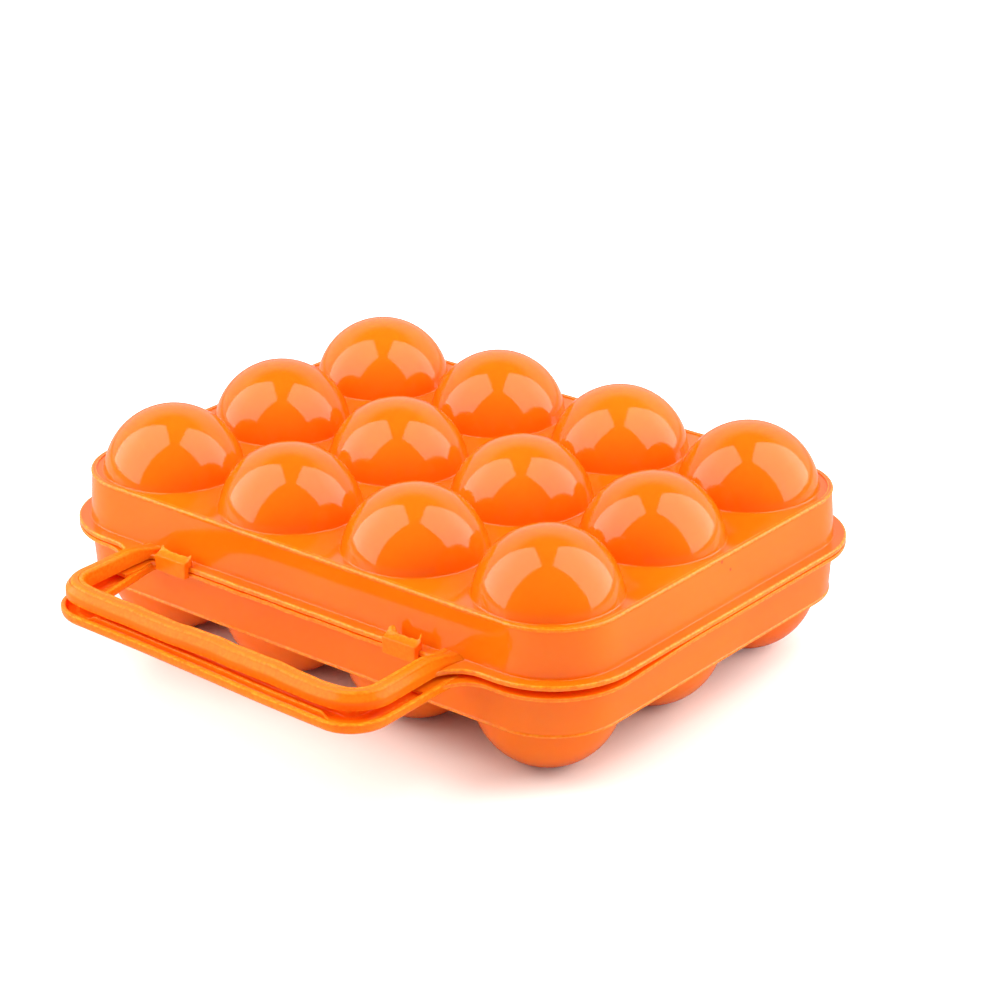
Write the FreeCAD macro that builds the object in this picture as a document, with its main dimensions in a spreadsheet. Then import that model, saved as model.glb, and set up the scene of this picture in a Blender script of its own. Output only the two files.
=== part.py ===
import FreeCAD, Part
import math
import os
import Sketcher

# Egg holder: a tray and a lid with twelve domed cups each, joined by a moulded hinge at the back
# and held shut by two snap latches at the front, where each half carries one loop of the handle.
# The handle is towards -Y and the hinge towards +Y. Each half is drawn with its cups upwards and
# its parting plane at zero; the tray is then turned over to stand on its cups.

doc = FreeCAD.newDocument("egg_holder")

# Driving dimensions, in millimetres
driving = {
    # cups
    "cup_columns": 4,
    "cup_rows": 3,
    "cup_gap": 5.0,
    "cup_margin_side": 4.1,
    "cup_margin_front": 2.8,
    "dome_radius": 21.2,
    "dome_height": 19.0,
    "dome_foot_fillet": 1.2,
    "foot_flat_radius": 4.0,
    # shells, measured from the parting plane
    "deck_height": 16.0,
    "wall": 1.4,
    "skirt_corner": 22.4,
    "skirt_draft": 1.0,
    "flange_overhang": 3.6,
    "flange_thickness": 1.4,
    "flange_edge_round": 0.5,
    "skirt_fillet": 2.0,
    "rim_width": 1.5,
    "rim_height": 0.4,
    "rim_round": 0.35,
    "seam_gap": 0.4,
    # handle loops
    "base_grip_span": 126.0,
    "base_grip_reach": 42.2,
    "base_grip_width": 9.6,
    "base_grip_height": 5.2,
    "base_grip_inner_corner": 4.4,
    "base_grip_round": 2.4,
    "grip_step_side": 3.0,
    "grip_step_front": 4.2,
    "lid_grip_width": 5.4,
    "lid_grip_height": 5.0,
    "lid_grip_inner_corner": 5.6,
    "lid_grip_round": 1.6,
    "grip_wall": 1.4,
    "root_length": 8.0,
    "root_flare": 7.0,
    "root_inner_flare": 2.0,
    "rib_length": 96.0,
    "rib_width": 1.0,
    "rib_height": 1.8,
    # snap latches
    "latch_inset": 4.4,
    "latch_width": 11.0,
    "latch_plate": 2.2,
    "latch_lip": 1.5,
    "latch_lip_thickness": 1.7,
    "latch_clearance": 0.1,
    "latch_round": 0.6,
    # hinges
    "hinge_spacing": 90.0,
    "hook_width": 12.0,
    "hook_wall": 1.2,
    "hook_mouth": 1.9,
    "bar_radius": 1.2,
    "lug_width": 3.0,
    "lug_wall": 0.7,
    "running_clearance": 0.08,
    "hinge_gap": 0.3,
}

sheet = doc.addObject("Spreadsheet::Sheet", "sizes")
for row, (alias, number) in enumerate(driving.items(), 1):
    sheet.set(f"A{row}", alias)
    sheet.set(f"B{row}", str(number))
    sheet.setAlias(f"B{row}", alias)
doc.recompute()


def size(name):
    return f"sizes.{name}"


def value(expression):
    return float(sheet.evalExpression(str(expression)))


def bind_point(sketch, geometry, end, x, y):
    # Ties one end of a line or an arc to its distances from the sketch's origin
    for kind, expression, axis in (("DistanceX", x, -2), ("DistanceY", y, -1)):
        if abs(value(expression)) < 1e-9:
            sketch.addConstraint(Sketcher.Constraint("PointOnObject", geometry, end, axis))
        else:
            tie = Sketcher.Constraint(kind, -1, 1, geometry, end, value(expression))
            sketch.setExpression(f"Constraints[{sketch.addConstraint(tie)}]", expression)


def new_body(label):
    body = doc.addObject("PartDesign::Body", label)
    body.Label = label
    return body


def origin_feature(body, role):
    return next(item for item in body.Origin.OriginFeatures if item.Role == role)


def new_sketch(body, name, role, offset):
    # offset: expressions for the sketch's own x, y and z shift from the origin plane
    sketch = body.newObject("Sketcher::SketchObject", name)
    sketch.AttachmentSupport = [(origin_feature(body, role), "")]
    sketch.MapMode = "FlatFace"
    for axis, expression in zip("xyz", offset):
        sketch.setExpression(f"AttachmentOffset.Base.{axis}", expression)
    return sketch


def rounded_outline(sketch, corners):
    # Closed outline of level and upright lines; each corner is (x, y, radius), sharp at radius "0"
    spots = [FreeCAD.Vector(value(x), value(y), 0) for x, y, radius in corners]
    radii = [value(radius) for x, y, radius in corners]
    count = len(corners)
    ways = [(spots[(i + 1) % count] - spots[i]).normalize() for i in range(count)]
    lines = []
    for i in range(count):
        start = spots[i] + ways[i] * radii[i]
        end = spots[(i + 1) % count] - ways[i] * radii[(i + 1) % count]
        lines.append(sketch.addGeometry(Part.LineSegment(start, end), False))
        level = abs(ways[i].y) < 0.5
        sketch.addConstraint(Sketcher.Constraint("Horizontal" if level else "Vertical", lines[i]))
        expression = corners[i][1] if level else corners[i][0]
        tie = Sketcher.Constraint("DistanceY" if level else "DistanceX", -1, 1, lines[i], 1,
                                  value(expression))
        sketch.setExpression(f"Constraints[{sketch.addConstraint(tie)}]", expression)
    for i in range(count):
        before = lines[i - 1]
        if radii[i] < 1e-9:
            sketch.addConstraint(Sketcher.Constraint("Coincident", before, 2, lines[i], 1))
            continue
        start = spots[i] - ways[i - 1] * radii[i]
        end = spots[i] + ways[i] * radii[i]
        centre = start + ways[i] * radii[i]
        middle = centre + (spots[i] - centre).normalize() * radii[i]
        arc = sketch.addGeometry(Part.Arc(start, middle, end), False)
        left_turn = ways[i - 1].cross(ways[i]).z > 0
        sketch.addConstraint(Sketcher.Constraint("Tangent", before, 2, arc, 1 if left_turn else 2))
        sketch.addConstraint(Sketcher.Constraint("Tangent", lines[i], 1, arc, 2 if left_turn else 1))
        tie = Sketcher.Constraint("Radius", arc, radii[i])
        sketch.setExpression(f"Constraints[{sketch.addConstraint(tie)}]", corners[i][2])


def point_outline(sketch, points):
    # Closed outline through bound points; each is (x, y, run), where run is None for a line to the
    # next point, or (centre x, centre y, radius, left) for an arc
    count = len(points)
    ends = []
    for i in range(count):
        x, y, run = points[i]
        here = FreeCAD.Vector(value(x), value(y), 0)
        there = FreeCAD.Vector(value(points[(i + 1) % count][0]), value(points[(i + 1) % count][1]), 0)
        if run is None:
            geometry = sketch.addGeometry(Part.LineSegment(here, there), False)
            ends.append((geometry, 1, 2))
            continue
        centre = FreeCAD.Vector(value(run[0]), value(run[1]), 0)
        turns = [math.atan2(spot.y - centre.y, spot.x - centre.x) for spot in (here, there)]
        circle = Part.Circle(centre, FreeCAD.Vector(0, 0, 1), value(run[2]))
        if run[3]:
            geometry = sketch.addGeometry(Part.ArcOfCircle(circle, turns[0], turns[1]), False)
            ends.append((geometry, 1, 2))
        else:
            geometry = sketch.addGeometry(Part.ArcOfCircle(circle, turns[1], turns[0]), False)
            ends.append((geometry, 2, 1))
    for i in range(count):
        geometry, first, last = ends[i]
        following, start = ends[(i + 1) % count][:2]
        sketch.addConstraint(Sketcher.Constraint("Coincident", geometry, last, following, start))
        bind_point(sketch, geometry, first, points[i][0], points[i][1])
        if points[i][2] is not None:
            tie = Sketcher.Constraint("Radius", geometry, value(points[i][2][2]))
            sketch.setExpression(f"Constraints[{sketch.addConstraint(tie)}]", points[i][2][2])


def circle_outline(sketch, x, y, radius):
    circle = Part.Circle(FreeCAD.Vector(value(x), value(y), 0), FreeCAD.Vector(0, 0, 1), value(radius))
    geometry = sketch.addGeometry(circle, False)
    bind_point(sketch, geometry, 3, x, y)
    tie = Sketcher.Constraint("Radius", geometry, value(radius))
    sketch.setExpression(f"Constraints[{sketch.addConstraint(tie)}]", radius)


def pad(body, name, sketch, length, both_ways=False):
    feature = body.newObject("PartDesign::Pad", name)
    feature.Profile = sketch
    feature.setExpression("Length", length)
    if both_ways:
        feature.SideType = "Symmetric"


def loft(body, kind, name, low, high):
    # Straight-sided loft between two level outlines, added to the body or taken from it
    doc.recompute()
    feature = body.newObject(kind, name)
    feature.Profile = low
    feature.Sections = [high]
    feature.Ruled = True


def pocket(body, name, sketch, length, both_ways=False):
    # Cuts along the sketch's normal, which is upwards on a level sketch
    doc.recompute()
    before = body.Shape.Volume
    feature = body.newObject("PartDesign::Pocket", name)
    feature.Profile = sketch
    feature.setExpression("Length", length)
    if both_ways:
        feature.SideType = "Symmetric"
    else:
        feature.Reversed = True
    doc.recompute()
    if body.Shape.Volume >= before:
        raise RuntimeError(f"{name} cuts nothing")


def fillet(body, name, radius, chosen):
    # Rounds every edge of the body so far for which chosen(edge) holds
    doc.recompute()
    blank = body.Tip
    names = [f"Edge{i}" for i, edge in enumerate(blank.Shape.Edges, 1) if chosen(edge)]
    feature = body.newObject("PartDesign::Fillet", name)
    feature.Base = (blank, names)
    feature.setExpression("Radius", radius)


def lies_at(edge, level):
    box = edge.BoundBox
    return abs(box.ZMin - value(level)) < 1e-4 and abs(box.ZMax - value(level)) < 1e-4


def inside_plan(edge, half_x, half_y):
    box = edge.BoundBox
    reach_x = max(abs(box.XMin), abs(box.XMax))
    reach_y = max(abs(box.YMin), abs(box.YMax))
    return reach_x < value(half_x) + 1e-3 and reach_y < value(half_y) + 1e-3


# Levels and places that follow from the driving dimensions; a half's own parting plane is zero
seam = f"({size('seam_gap')} / 2)"
flange_top = f"({seam} + {size('flange_thickness')})"
half_height = f"({size('deck_height')} + {size('dome_height')})"
cup_pitch = f"(2 * {size('dome_radius')} + {size('cup_gap')})"
last_cup_x = f"(({size('cup_columns')} - 1) / 2 * {cup_pitch})"
last_cup_y = f"(({size('cup_rows')} - 1) / 2 * {cup_pitch})"
skirt_x = f"({last_cup_x} + {size('dome_radius')} + {size('cup_margin_side')})"
skirt_y = f"({last_cup_y} + {size('dome_radius')} + {size('cup_margin_front')})"
skirt_corner = size("skirt_corner")
half_length = f"({skirt_x} + {size('flange_overhang')})"
half_depth = f"({skirt_y} + {size('flange_overhang')})"
flange_corner = f"({skirt_corner} + {size('flange_overhang')})"
hook_radius = f"({size('bar_radius')} + {size('running_clearance')} + {size('hook_wall')})"
lug_radius = f"({size('bar_radius')} + {size('lug_wall')})"
hinge_y = f"({half_depth} + {size('hinge_gap')})"
notch_y = f"({hinge_y} - {hook_radius} - {size('hinge_gap')})"
bar_length = f"({size('hook_width')} + 2 * {size('hinge_gap')})"
bail_width = f"({bar_length} + 2 * {size('lug_width')})"
# The origin stands under the middle of the whole footprint, handle and hinge included
cup_field_y = f"({size('base_grip_reach')} - {size('hinge_gap')} - {hook_radius}) / 2"

# The two loops of the handle; the lid's one is a step narrower and shorter than the tray's
base_grip = {
    "span": size("base_grip_span"),
    "reach": size("base_grip_reach"),
    "width": size("base_grip_width"),
    "height": size("base_grip_height"),
    "corner": f"({size('base_grip_inner_corner')} + {size('base_grip_width')})",
    "round": size("base_grip_round"),
}
lid_grip = {
    "span": f"({size('base_grip_span')} - 2 * {size('grip_step_side')})",
    "reach": f"({size('base_grip_reach')} - {size('grip_step_front')})",
    "width": size("lid_grip_width"),
    "height": size("lid_grip_height"),
    "corner": f"({size('lid_grip_inner_corner')} + {size('lid_grip_width')})",
    "round": size("lid_grip_round"),
}
arm_inside = f"({base_grip['span']} / 2 - {base_grip['width']})"
latch_x = f"({arm_inside} - {size('latch_inset')} - {size('latch_width')} / 2)"


def place(part, x="0", turned_over=False):
    if turned_over:
        half_turn = FreeCAD.Rotation(FreeCAD.Vector(1, 0, 0), 180)
        part.Placement = FreeCAD.Placement(FreeCAD.Vector(), half_turn)
    part.setExpression("Placement.Base.x", x)
    part.setExpression("Placement.Base.y", cup_field_y)
    part.setExpression("Placement.Base.z", half_height)


def rectangle(half_x, half_y, corner, inset="0"):
    x = f"({half_x} - {inset})"
    y = f"({half_y} - {inset})"
    radius = f"({corner} - {inset})"
    return [(x, y, radius), (f"-{x}", y, radius), (f"-{x}", f"-{y}", radius), (x, f"-{y}", radius)]


def handle_roots(body, label, front, loop):
    # Two stubs on the flange's front edge, where the handle's arms begin, flared into that edge
    outer = f"({loop['span']} / 2)"
    inner = f"({outer} - {loop['width']})"
    deep = f"{front} * {skirt_y}"
    tip = f"{front} * ({half_depth} + {size('root_length')})"
    sketch = new_sketch(body, f"{label}_roots_sketch", "XY_Plane", ("0", "0", seam))
    for left, right in ((f"-{outer}", f"-{inner}"), (inner, outer)):
        corners = [(left, deep), (right, deep), (right, tip), (left, tip)]
        rounded_outline(sketch, [(x, y, "0") for x, y in corners])
    pad(body, f"{label}_roots", sketch, size("flange_thickness"))

    # A flare stays on its stub, and the outer one on the straight run of the flange's edge
    stub = f"({size('root_length')} - {size('wall')} / 2)"
    run = f"({half_length} - {flange_corner} - {outer})"
    room = f"({run} > 0 ? 0.9 * {run} : {size('root_inner_flare')})"
    tip_y = value(f"{half_depth} + {size('root_length')}")
    for name, x, radius in (("flare", outer, f"min({size('root_flare')}; {stub}; {room})"),
                            ("inner_flare", inner, f"min({size('root_inner_flare')}; {stub})")):
        side = value(x)
        fillet(body, f"{label}_root_{name}", radius,
               lambda edge: edge.BoundBox.ZLength > 1e-3 and edge.BoundBox.XLength < 1e-3
               and edge.BoundBox.YLength < 1e-3 and abs(abs(edge.CenterOfMass.x) - side) < 1e-3
               and abs(edge.CenterOfMass.y) < tip_y - 1e-3)


def dome_profile(sketch, inset, flat):
    # Half section of one dome: a sphere that runs out into the deck through a concave foot fillet.
    # The inset is nothing for the dome itself, and the wall for the cup inside it
    sphere = size("dome_radius")
    foot = size("dome_foot_fillet")
    deck = size("deck_height")
    if flat:
        middle = f"({half_height} - sqrt({sphere} ^ 2 - {size('foot_flat_radius')} ^ 2))"
    else:
        middle = f"({half_height} - {sphere})"
    foot_x = f"sqrt(({sphere} + {foot}) ^ 2 - ({deck} + {foot} - {middle}) ^ 2)"
    radius = f"({sphere} - {inset})"
    share = f"({radius} / ({sphere} + {foot}))"
    meet_x = f"{foot_x} * {share}"
    meet_y = f"({middle} + ({deck} + {foot} - {middle}) * {share})"
    foot_level = f"({deck} - {inset})"
    sunk = f"({foot_level} - {size('wall')} / 2)"
    points = [("0", sunk, None)]
    if flat and inset == "0":
        points.append(("0", half_height, None))
        points.append((size("foot_flat_radius"), half_height, ("0", middle, radius, False)))
    else:
        points.append(("0", f"({middle} + {radius})", ("0", middle, radius, False)))
    points.append((meet_x, meet_y, (foot_x, f"({deck} + {foot})", f"({foot} + {inset})", True)))
    points.append((foot_x, foot_level, None))
    points.append((foot_x, sunk, None))
    point_outline(sketch, points)


def repeat_over_cups(body, name, original):
    pattern = body.newObject("PartDesign::LinearPattern", name)
    pattern.Originals = [original]
    pattern.Direction = (origin_feature(body, "X_Axis"), [""])
    pattern.Direction2 = (origin_feature(body, "Y_Axis"), [""])
    pattern.Mode = "Extent"
    pattern.Mode2 = "Extent"
    pattern.setExpression("Length", f"2 * {last_cup_x}")
    pattern.setExpression("Length2", f"2 * {last_cup_y}")
    pattern.setExpression("Occurrences", size("cup_columns"))
    pattern.setExpression("Occurrences2", size("cup_rows"))
    body.Tip = pattern
    doc.recompute()


def half_shell(label, front, loop, notch_width, flat):
    # One moulded half: deck, skirt, rim bead, flange with handle roots, domes and hinge notches
    body = new_body(label)
    draft = size("skirt_draft")
    wall = size("wall")
    deck = size("deck_height")

    def skirt_sketch(name, level, inset):
        sketch = new_sketch(body, f"{label}_{name}_sketch", "XY_Plane", ("0", "0", level))
        rounded_outline(sketch, rectangle(skirt_x, skirt_y, skirt_corner, inset))
        return sketch

    low = skirt_sketch("skirt_foot", seam, "0")
    high = skirt_sketch("skirt_head", deck, draft)
    loft(body, "PartDesign::AdditiveLoft", f"{label}_skirt", low, high)

    low = skirt_sketch("inside_foot", seam, wall)
    high = skirt_sketch("inside_head", f"{deck} - {wall}", f"({wall} + {draft})")
    loft(body, "PartDesign::SubtractiveLoft", f"{label}_inside", low, high)

    sketch = skirt_sketch("rim", deck, draft)
    rounded_outline(sketch, rectangle(skirt_x, skirt_y, skirt_corner, f"({draft} + {size('rim_width')})"))
    pad(body, f"{label}_rim", sketch, size("rim_height"))

    sketch = new_sketch(body, f"{label}_flange_sketch", "XY_Plane", ("0", "0", seam))
    rounded_outline(sketch, rectangle(half_length, half_depth, flange_corner))
    rounded_outline(sketch, rectangle(skirt_x, skirt_y, skirt_corner, f"{wall} / 2"))
    pad(body, f"{label}_flange", sketch, size("flange_thickness"))
    handle_roots(body, label, front, loop)

    rim_top = f"{deck} + {size('rim_height')}"
    rim_round = f"min({size('rim_round')}; 0.9 * {size('rim_height')})"
    fillet(body, f"{label}_rim_round", rim_round, lambda edge: lies_at(edge, rim_top))
    fillet(body, f"{label}_skirt_fillet", size("skirt_fillet"),
           lambda edge: lies_at(edge, flange_top) and inside_plan(edge, skirt_x, skirt_y))
    stub_tip = value(f"{half_depth} + {size('root_length')}")
    foot_x = f"{skirt_x} + {size('skirt_fillet')}"
    foot_y = f"{skirt_y} + {size('skirt_fillet')}"
    fillet(body, f"{label}_flange_round", size("flange_edge_round"),
           lambda edge: lies_at(edge, flange_top) and abs(edge.CenterOfMass.y) < stub_tip - 1e-3
           and not inside_plan(edge, foot_x, foot_y))

    first_cup = (f"-{last_cup_x}", "0", last_cup_y)
    sketch = new_sketch(body, f"{label}_dome_sketch", "XZ_Plane", first_cup)
    dome_profile(sketch, "0", flat)
    dome = body.newObject("PartDesign::Revolution", f"{label}_dome")
    dome.Profile = sketch
    dome.ReferenceAxis = (sketch, ["V_Axis"])
    repeat_over_cups(body, f"{label}_domes", dome)

    sketch = new_sketch(body, f"{label}_cup_sketch", "XZ_Plane", first_cup)
    dome_profile(sketch, wall, flat)
    before = body.Shape.Volume
    cup = body.newObject("PartDesign::Groove", f"{label}_cup")
    cup.Profile = sketch
    cup.ReferenceAxis = (sketch, ["V_Axis"])
    repeat_over_cups(body, f"{label}_cups", cup)
    if body.Shape.Volume >= before:
        raise RuntimeError(f"{label} cups cut nothing")

    sketch = new_sketch(body, f"{label}_notch_sketch", "XY_Plane", ("0", "0", "0"))
    near = f"{-front} * {notch_y}"
    far = f"{-front} * (2 * {half_depth} - {notch_y})"
    for side in (-1, 1):
        left = f"({side} * {size('hinge_spacing')} / 2 - {notch_width} / 2)"
        right = f"({side} * {size('hinge_spacing')} / 2 + {notch_width} / 2)"
        corners = [(left, near), (right, near), (right, far), (left, far)]
        rounded_outline(sketch, [(x, y, "0") for x, y in corners])
    pocket(body, f"{label}_notches", sketch, f"{flange_top} + {size('skirt_fillet')}")
    return body


def loop_outline(front, loop, start, inset="0"):
    # U-shaped strip of the handle in plan, from the level "start" out to the front bar and back
    outer_x = f"({loop['span']} / 2 - {inset})"
    inner_x = f"({loop['span']} / 2 - {loop['width']} + {inset})"
    outer_y = f"{front} * ({half_depth} + {loop['reach']} - {inset})"
    inner_y = f"{front} * ({half_depth} + {loop['reach']} - {loop['width']} + {inset})"
    root = f"{front} * ({start})"
    outer_corner = f"({loop['corner']} - {inset})"
    inner_corner = f"({loop['corner']} - {loop['width']} + {inset})"
    right = [(inner_x, root, "0"), (outer_x, root, "0"), (outer_x, outer_y, outer_corner)]
    left = [(f"-{x}", y, radius) for x, y, radius in reversed(right)]
    inner = [(f"-{inner_x}", inner_y, inner_corner), (inner_x, inner_y, inner_corner)]
    return right + left + inner


def grip_blank(label, front, loop, to_seam):
    # One hollow loop of the handle: arms that run over the flange to the skirt, and a channel that
    # is open towards the other half. Its rim is level with the flange's back, or goes on to the seam
    body = new_body(f"{label}_blank")
    stub_end = f"({half_depth} + {size('root_length')})"
    channel_end = f"({stub_end} + {size('grip_wall')})"

    sketch = new_sketch(body, f"{label}_arch_sketch", "XY_Plane", ("0", "0", flange_top))
    rounded_outline(sketch, loop_outline(front, loop, f"{skirt_y} - {size('wall')} / 2"))
    pad(body, f"{label}_arch", sketch, f"{loop['height']} - {flange_top}")

    if to_seam:
        sketch = new_sketch(body, f"{label}_edge_sketch", "XY_Plane", ("0", "0", seam))
        rounded_outline(sketch, loop_outline(front, loop, stub_end))
        pad(body, f"{label}_edge", sketch, size("flange_thickness"))

    root_reach = value(skirt_y)
    fillet(body, f"{label}_round", loop["round"],
           lambda edge: lies_at(edge, loop["height"]) and abs(edge.CenterOfMass.y) > root_reach)

    sketch = new_sketch(body, f"{label}_channel_sketch", "XY_Plane", ("0", "0", seam))
    rounded_outline(sketch, loop_outline(front, loop, channel_end, size("grip_wall")))
    pocket(body, f"{label}_channel", sketch, f"{loop['height']} - {size('grip_wall')} - {seam}")
    return body


def add_rib(body, label, front, loop):
    # Stiffening rib along the floor of the front bar's channel
    middle = f"({half_depth} + {loop['reach']} - {loop['width']} / 2)"
    near = f"{front} * ({middle} - {size('rib_width')} / 2)"
    far = f"{front} * ({middle} + {size('rib_width')} / 2)"
    end = f"({size('rib_length')} / 2)"
    level = f"{loop['height']} - {size('grip_wall')} - {size('rib_height')}"
    sketch = new_sketch(body, f"{label}_sketch", "XY_Plane", ("0", "0", level))
    corners = [(f"-{end}", near), (end, near), (end, far), (f"-{end}", far)]
    rounded_outline(sketch, [(x, y, "0") for x, y in corners])
    pad(body, label, sketch, f"{size('rib_height')} + {size('grip_wall')} / 2")


def seated_grip(label, blank, shell):
    # The loop with its arm ends shaped to the skirt and flange that they are moulded to
    loop = doc.addObject("Part::Cut", label)
    loop.Label = label
    loop.Base = blank
    loop.Tool = shell
    return loop


def snap_latch(label, side):
    # Hook on the tray's front flange: a plate in front of both flanges with a lip over the lid's one
    body = new_body(label)
    edge = f"-{half_depth}"
    clear_y = f"({edge} - {size('latch_clearance')})"
    front = f"({edge} - {size('latch_plate')})"
    lip_y = f"({edge} + {size('latch_lip')})"
    root = f"-{flange_top}"
    seat = f"-{seam}"
    lip_under = f"({flange_top} + {size('latch_clearance')})"
    lip_top = f"({lip_under} + {size('latch_lip_thickness')})"
    sketch = new_sketch(body, f"{label}_sketch", "YZ_Plane", ("0", "0", "0"))
    point_outline(sketch, [
        (edge, root, None), (edge, seat, None), (clear_y, seat, None), (clear_y, lip_under, None),
        (lip_y, lip_under, None), (lip_y, lip_top, None), (front, lip_top, None), (front, root, None)])
    pad(body, f"{label}_hook", sketch, size("latch_width"), both_ways=True)
    top_edge = value(front)
    fillet(body, f"{label}_round", size("latch_round"),
           lambda edge: lies_at(edge, lip_top) and abs(edge.BoundBox.YMax - top_edge) < 1e-3)
    place(body, f"{side} * {latch_x}")
    return body


def hinge_bar(label, side):
    # Bail on the tray's back edge: two lugs set into the flange notch, with a round bar between them
    body = new_body(label)
    axis = (hinge_y, "0")
    sketch = new_sketch(body, f"{label}_lug_sketch", "YZ_Plane", ("0", "0", "0"))
    circle_outline(sketch, *axis, lug_radius)
    pad(body, f"{label}_lugs", sketch, bail_width, both_ways=True)

    low = f"-{flange_top}"
    high = f"-{seam}"
    sketch = new_sketch(body, f"{label}_foot_sketch", "YZ_Plane", ("0", "0", "0"))
    point_outline(sketch, [(notch_y, low, None), (hinge_y, low, None), (hinge_y, high, None),
                           (notch_y, high, None)])
    pad(body, f"{label}_feet", sketch, bail_width, both_ways=True)

    # Room for the lid's hook: everything round the bar goes, between the lugs
    sketch = new_sketch(body, f"{label}_gap_sketch", "YZ_Plane", ("0", "0", "0"))
    circle_outline(sketch, *axis, size("bar_radius"))
    reach = f"({hook_radius} + {size('hinge_gap')})"
    near = f"({hinge_y} - {reach})"
    far = f"({hinge_y} + {reach})"
    point_outline(sketch, [(near, f"-{reach}", None), (far, f"-{reach}", None), (far, reach, None),
                           (near, reach, None)])
    pocket(body, f"{label}_gap", sketch, bar_length, both_ways=True)
    place(body, f"{side} * {size('hinge_spacing')} / 2")
    return body


def hinge_hook(label, side):
    # Hook on the lid's back edge that snaps round the bar; its mouth is narrower than the bar
    body = new_body(label)
    axis = (hinge_y, "0")
    sketch = new_sketch(body, f"{label}_knuckle_sketch", "YZ_Plane", ("0", "0", "0"))
    circle_outline(sketch, *axis, hook_radius)
    pad(body, f"{label}_knuckle", sketch, size("hook_width"), both_ways=True)

    sketch = new_sketch(body, f"{label}_arm_sketch", "YZ_Plane", ("0", "0", "0"))
    point_outline(sketch, [(notch_y, seam, None), (hinge_y, seam, None), (hinge_y, flange_top, None),
                           (notch_y, flange_top, None)])
    pad(body, f"{label}_arm", sketch, size("hook_width"), both_ways=True)

    sketch = new_sketch(body, f"{label}_eye_sketch", "YZ_Plane", ("0", "0", "0"))
    circle_outline(sketch, *axis, f"{size('bar_radius')} + {size('running_clearance')}")
    pocket(body, f"{label}_eye", sketch, size("hook_width"), both_ways=True)

    low = f"-{hook_radius} - {size('hinge_gap')}"
    near = f"({hinge_y} - {size('hook_mouth')} / 2)"
    far = f"({hinge_y} + {size('hook_mouth')} / 2)"
    sketch = new_sketch(body, f"{label}_mouth_sketch", "YZ_Plane", ("0", "0", "0"))
    point_outline(sketch, [(near, low, None), (far, low, None), (far, "0", None), (near, "0", None)])
    pocket(body, f"{label}_mouth", sketch, size("hook_width"), both_ways=True)
    place(body, f"{side} * {size('hinge_spacing')} / 2")
    return body


# The lid has its handle towards -Y; the tray is drawn with it towards +Y and then turned over
lid_notch = f"({bail_width} + 2 * {size('hinge_gap')})"
lid_cover = half_shell("lid_cover", -1, lid_grip, lid_notch, False)
place(lid_cover)
lid_blank = grip_blank("lid_handle", -1, lid_grip, True)
place(lid_blank)
base_tray = half_shell("base_tray", 1, base_grip, bail_width, True)
place(base_tray, turned_over=True)
base_blank = grip_blank("base_handle", 1, base_grip, False)
add_rib(base_blank, "base_handle_rib", 1, base_grip)
place(base_blank, turned_over=True)
parts = [
    base_tray,
    seated_grip("base_handle", base_blank, base_tray),
    lid_cover,
    seated_grip("lid_handle", lid_blank, lid_cover),
]
for name, side in (("left", -1), ("right", 1)):
    parts.append(snap_latch(f"latch_{name}", side))
    parts.append(hinge_bar(f"hinge_bar_{name}", side))
    parts.append(hinge_hook(f"hinge_hook_{name}", side))
doc.recompute()

for item in doc.Objects:
    if "Invalid" in item.State or "Error" in item.State:
        raise RuntimeError(f"{item.Label} failed: {item.State}")
for part in parts:
    if part.Shape.isNull() or not part.Shape.isValid() or len(part.Shape.Solids) != 1:
        raise RuntimeError(f"{part.Label} is not one valid solid")

os.makedirs("parts", exist_ok=True)
for part in parts:
    part.Shape.exportStep(f"parts/{part.Label}.step")
    print(part.Label, round(part.Shape.Volume), "cubic mm", part.Shape.BoundBox)
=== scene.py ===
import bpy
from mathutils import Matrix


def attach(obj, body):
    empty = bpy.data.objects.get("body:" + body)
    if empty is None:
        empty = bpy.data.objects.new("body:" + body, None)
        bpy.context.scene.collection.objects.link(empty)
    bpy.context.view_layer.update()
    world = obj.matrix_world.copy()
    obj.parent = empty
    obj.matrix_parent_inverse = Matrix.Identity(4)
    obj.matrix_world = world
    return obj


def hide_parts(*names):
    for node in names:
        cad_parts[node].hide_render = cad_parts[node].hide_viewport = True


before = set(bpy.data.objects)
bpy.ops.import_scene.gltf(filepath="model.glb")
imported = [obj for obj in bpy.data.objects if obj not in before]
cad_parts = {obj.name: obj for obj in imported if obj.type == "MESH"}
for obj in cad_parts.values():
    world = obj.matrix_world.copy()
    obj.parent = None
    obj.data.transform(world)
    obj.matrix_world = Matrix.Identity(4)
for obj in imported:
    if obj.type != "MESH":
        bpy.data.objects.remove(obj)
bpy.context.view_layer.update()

import math
import bpy
import numpy as np
from mathutils import Matrix, Vector

# All sizes are in millimetres, measured from the middle of the cup field and from the parting plane;
# a mesh is turned into metres of the shared frame when it is made
field = {"columns": 4, "rows": 3, "pitch": 47.4, "middleY": 19.71, "partingZ": 35.0, "perSide": 32,
         "metres": 0.001, "weldDigits": 3}
black, white = (0.0, 0.0, 0.0, 1.0), (1.0, 1.0, 1.0, 1.0)


def smoothStep(low, high, x):
    t = np.clip((x - low) / (high - low), 0.0, 1.0)
    return t * t * (3.0 - 2.0 * t)


def ripple(x, seed, waves):
    # Sum of sines: each wave is (length, height), its phase drawn from the seed
    phases = np.random.default_rng(seed).uniform(0.0, 2.0 * math.pi, len(waves))
    return sum(height * np.sin(2.0 * math.pi * x / length + phase)
               for (length, height), phase in zip(waves, phases))


def heading(turn):
    # Unit vectors of angles in radians
    return np.stack([np.cos(turn), np.sin(turn)], axis=-1)


def arc(centreA, centreB, radius, start, end, count):
    # Points of a circle arc between two angles in degrees
    turn = np.radians(np.linspace(start, end, count))
    return np.array([centreA, centreB]) + radius * heading(turn)


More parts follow.
